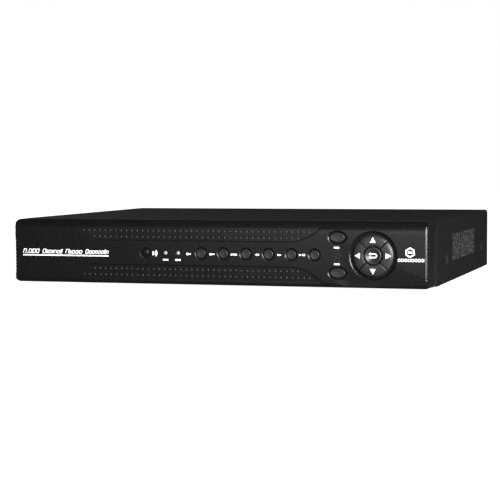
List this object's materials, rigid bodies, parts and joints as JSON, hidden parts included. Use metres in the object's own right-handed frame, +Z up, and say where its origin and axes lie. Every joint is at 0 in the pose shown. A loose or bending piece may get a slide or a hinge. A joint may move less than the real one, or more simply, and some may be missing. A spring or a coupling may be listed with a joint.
{
  "type": "digital video recorder",
  "caption": "Slim black desktop video recorder: moulded fascia with round, oval and four-way keys, perforated steel cover, fan, drive, boards and rear sockets.",
  "frame": {"origin": "centre of the underside of the bounding box, on the surface that the rubber feet stand on", "axes": "+X to the right seen from the front, -Y out of the fascia, +Z up"},
  "size_m": [0.3006, 0.256, 0.046],
  "materials": {
    "case_paint": "fine powder coat, satin black",
    "zinc_steel": "zinc plated sheet steel",
    "fascia_plastic": "satin moulded ABS, near black",
    "key_plastic": "satin moulded ABS, dark grey",
    "window_plastic": "glossy dark red infrared-pass plastic",
    "lens_plastic": "clear moulded light pipe",
    "circuit_board": "green solder mask",
    "black_plastic": "matt black plastic",
    "screw_steel": "bright zinc plated",
    "grey_cable": "grey flat cable",
    "heatsink_aluminium": "dark anodised",
    "capacitor_sleeve": "dark printed sleeve with bare top",
    "white_plastic": "off-white nylon",
    "nickel": "nickel plated",
    "gold_contact": "plated brass",
    "blue_plastic": "blue connector plastic",
    "port_steel": "tin plated spring steel",
    "green_plastic": "green terminal plastic",
    "drive_casting": "cast and machined aluminium",
    "red_cable": "red insulation",
    "black_cable": "black insulation",
    "foot_rubber": "matt black rubber"
  },
  "bodies": {
    "case": {"base_tray": "zinc_steel", "rear_panel": "case_paint", "top_cover": "case_paint", "front_panel": "fascia_plastic", "ir_window": "window_plastic", "indicator_lenses": "lens_plastic", "key_board": "circuit_board", "key_switches": "black_plastic", "ir_receiver": "window_plastic", "status_leds": "lens_plastic", "key_board_screws": "screw_steel", "ribbon_cable": "grey_cable", "main_board": "circuit_board", "processor": "black_plastic", "heatsink": "heatsink_aluminium", "board_chips": "black_plastic", "capacitors": "capacitor_sleeve", "power_coils": "black_plastic", "coin_cell": "screw_steel", "cell_holder": "black_plastic", "buzzer": "black_plastic", "board_headers": "white_plastic", "bnc_shells": "nickel", "bnc_insulators": "white_plastic", "bnc_pins": "gold_contact", "rca_shells": "nickel", "rca_insulators": "white_plastic", "vga_port": "blue_plastic", "vga_studs": "nickel", "hdmi_port": "port_steel", "lan_port": "port_steel", "usb_ports": "port_steel", "dc_jack": "black_plastic", "control_terminal": "green_plastic", "hard_drive": "drive_casting", "drive_screws": "screw_steel", "drive_data_cable": "red_cable", "drive_power_cable": "black_cable", "fan_frame": "black_plastic", "fan_screws": "screw_steel", "fan_lead": "red_cable", "rubber_feet": "foot_rubber", "cover_screws": "screw_steel", "rear_screws": "screw_steel", "board_standoffs": "gold_contact", "board_screws": "screw_steel"},
    "round_key_1": {"round_key_1": "key_plastic"},
    "round_key_2": {"round_key_2": "key_plastic"},
    "round_key_3": {"round_key_3": "key_plastic"},
    "round_key_4": {"round_key_4": "key_plastic"},
    "round_key_5": {"round_key_5": "key_plastic"},
    "round_key_6": {"round_key_6": "key_plastic"},
    "upper_oval_key": {"upper_oval_key": "key_plastic"},
    "lower_oval_key": {"lower_oval_key": "key_plastic"},
    "up_key": {"up_key": "key_plastic"},
    "right_key": {"right_key": "key_plastic"},
    "down_key": {"down_key": "key_plastic"},
    "left_key": {"left_key": "key_plastic"},
    "enter_key": {"enter_key": "key_plastic"},
    "fan_rotor": {"fan_rotor": "black_plastic"}
  },
  "joints": [
    {"name": "round_key_1_press", "type": "slide", "parent": "case", "child": "round_key_1", "axis": [0, 1, 0], "range_m": [0, 0.0006], "stiffness_N_per_m": 1500},
    {"name": "round_key_2_press", "type": "slide", "parent": "case", "child": "round_key_2", "axis": [0, 1, 0], "range_m": [0, 0.0006], "stiffness_N_per_m": 1500},
    {"name": "round_key_3_press", "type": "slide", "parent": "case", "child": "round_key_3", "axis": [0, 1, 0], "range_m": [0, 0.0006], "stiffness_N_per_m": 1500},
    {"name": "round_key_4_press", "type": "slide", "parent": "case", "child": "round_key_4", "axis": [0, 1, 0], "range_m": [0, 0.0006], "stiffness_N_per_m": 1500},
    {"name": "round_key_5_press", "type": "slide", "parent": "case", "child": "round_key_5", "axis": [0, 1, 0], "range_m": [0, 0.0006], "stiffness_N_per_m": 1500},
    {"name": "round_key_6_press", "type": "slide", "parent": "case", "child": "round_key_6", "axis": [0, 1, 0], "range_m": [0, 0.0006], "stiffness_N_per_m": 1500},
    {"name": "upper_oval_key_press", "type": "slide", "parent": "case", "child": "upper_oval_key", "axis": [0, 1, 0], "range_m": [0, 0.0006], "stiffness_N_per_m": 1500},
    {"name": "lower_oval_key_press", "type": "slide", "parent": "case", "child": "lower_oval_key", "axis": [0, 1, 0], "range_m": [0, 0.0006], "stiffness_N_per_m": 1500},
    {"name": "up_key_press", "type": "slide", "parent": "case", "child": "up_key", "axis": [0, 1, 0], "range_m": [0, 0.0006], "stiffness_N_per_m": 1500},
    {"name": "right_key_press", "type": "slide", "parent": "case", "child": "right_key", "axis": [0, 1, 0], "range_m": [0, 0.0006], "stiffness_N_per_m": 1500},
    {"name": "down_key_press", "type": "slide", "parent": "case", "child": "down_key", "axis": [0, 1, 0], "range_m": [0, 0.0006], "stiffness_N_per_m": 1500},
    {"name": "left_key_press", "type": "slide", "parent": "case", "child": "left_key", "axis": [0, 1, 0], "range_m": [0, 0.0006], "stiffness_N_per_m": 1500},
    {"name": "enter_key_press", "type": "slide", "parent": "case", "child": "enter_key", "axis": [0, 1, 0], "range_m": [0, 0.0006], "stiffness_N_per_m": 1500},
    {"name": "fan_spin", "type": "hinge", "parent": "case", "child": "fan_rotor", "pos_m": [0.119, 0.10995, 0.0237], "axis": [0, 1, 0], "continuous": true}
  ]
}
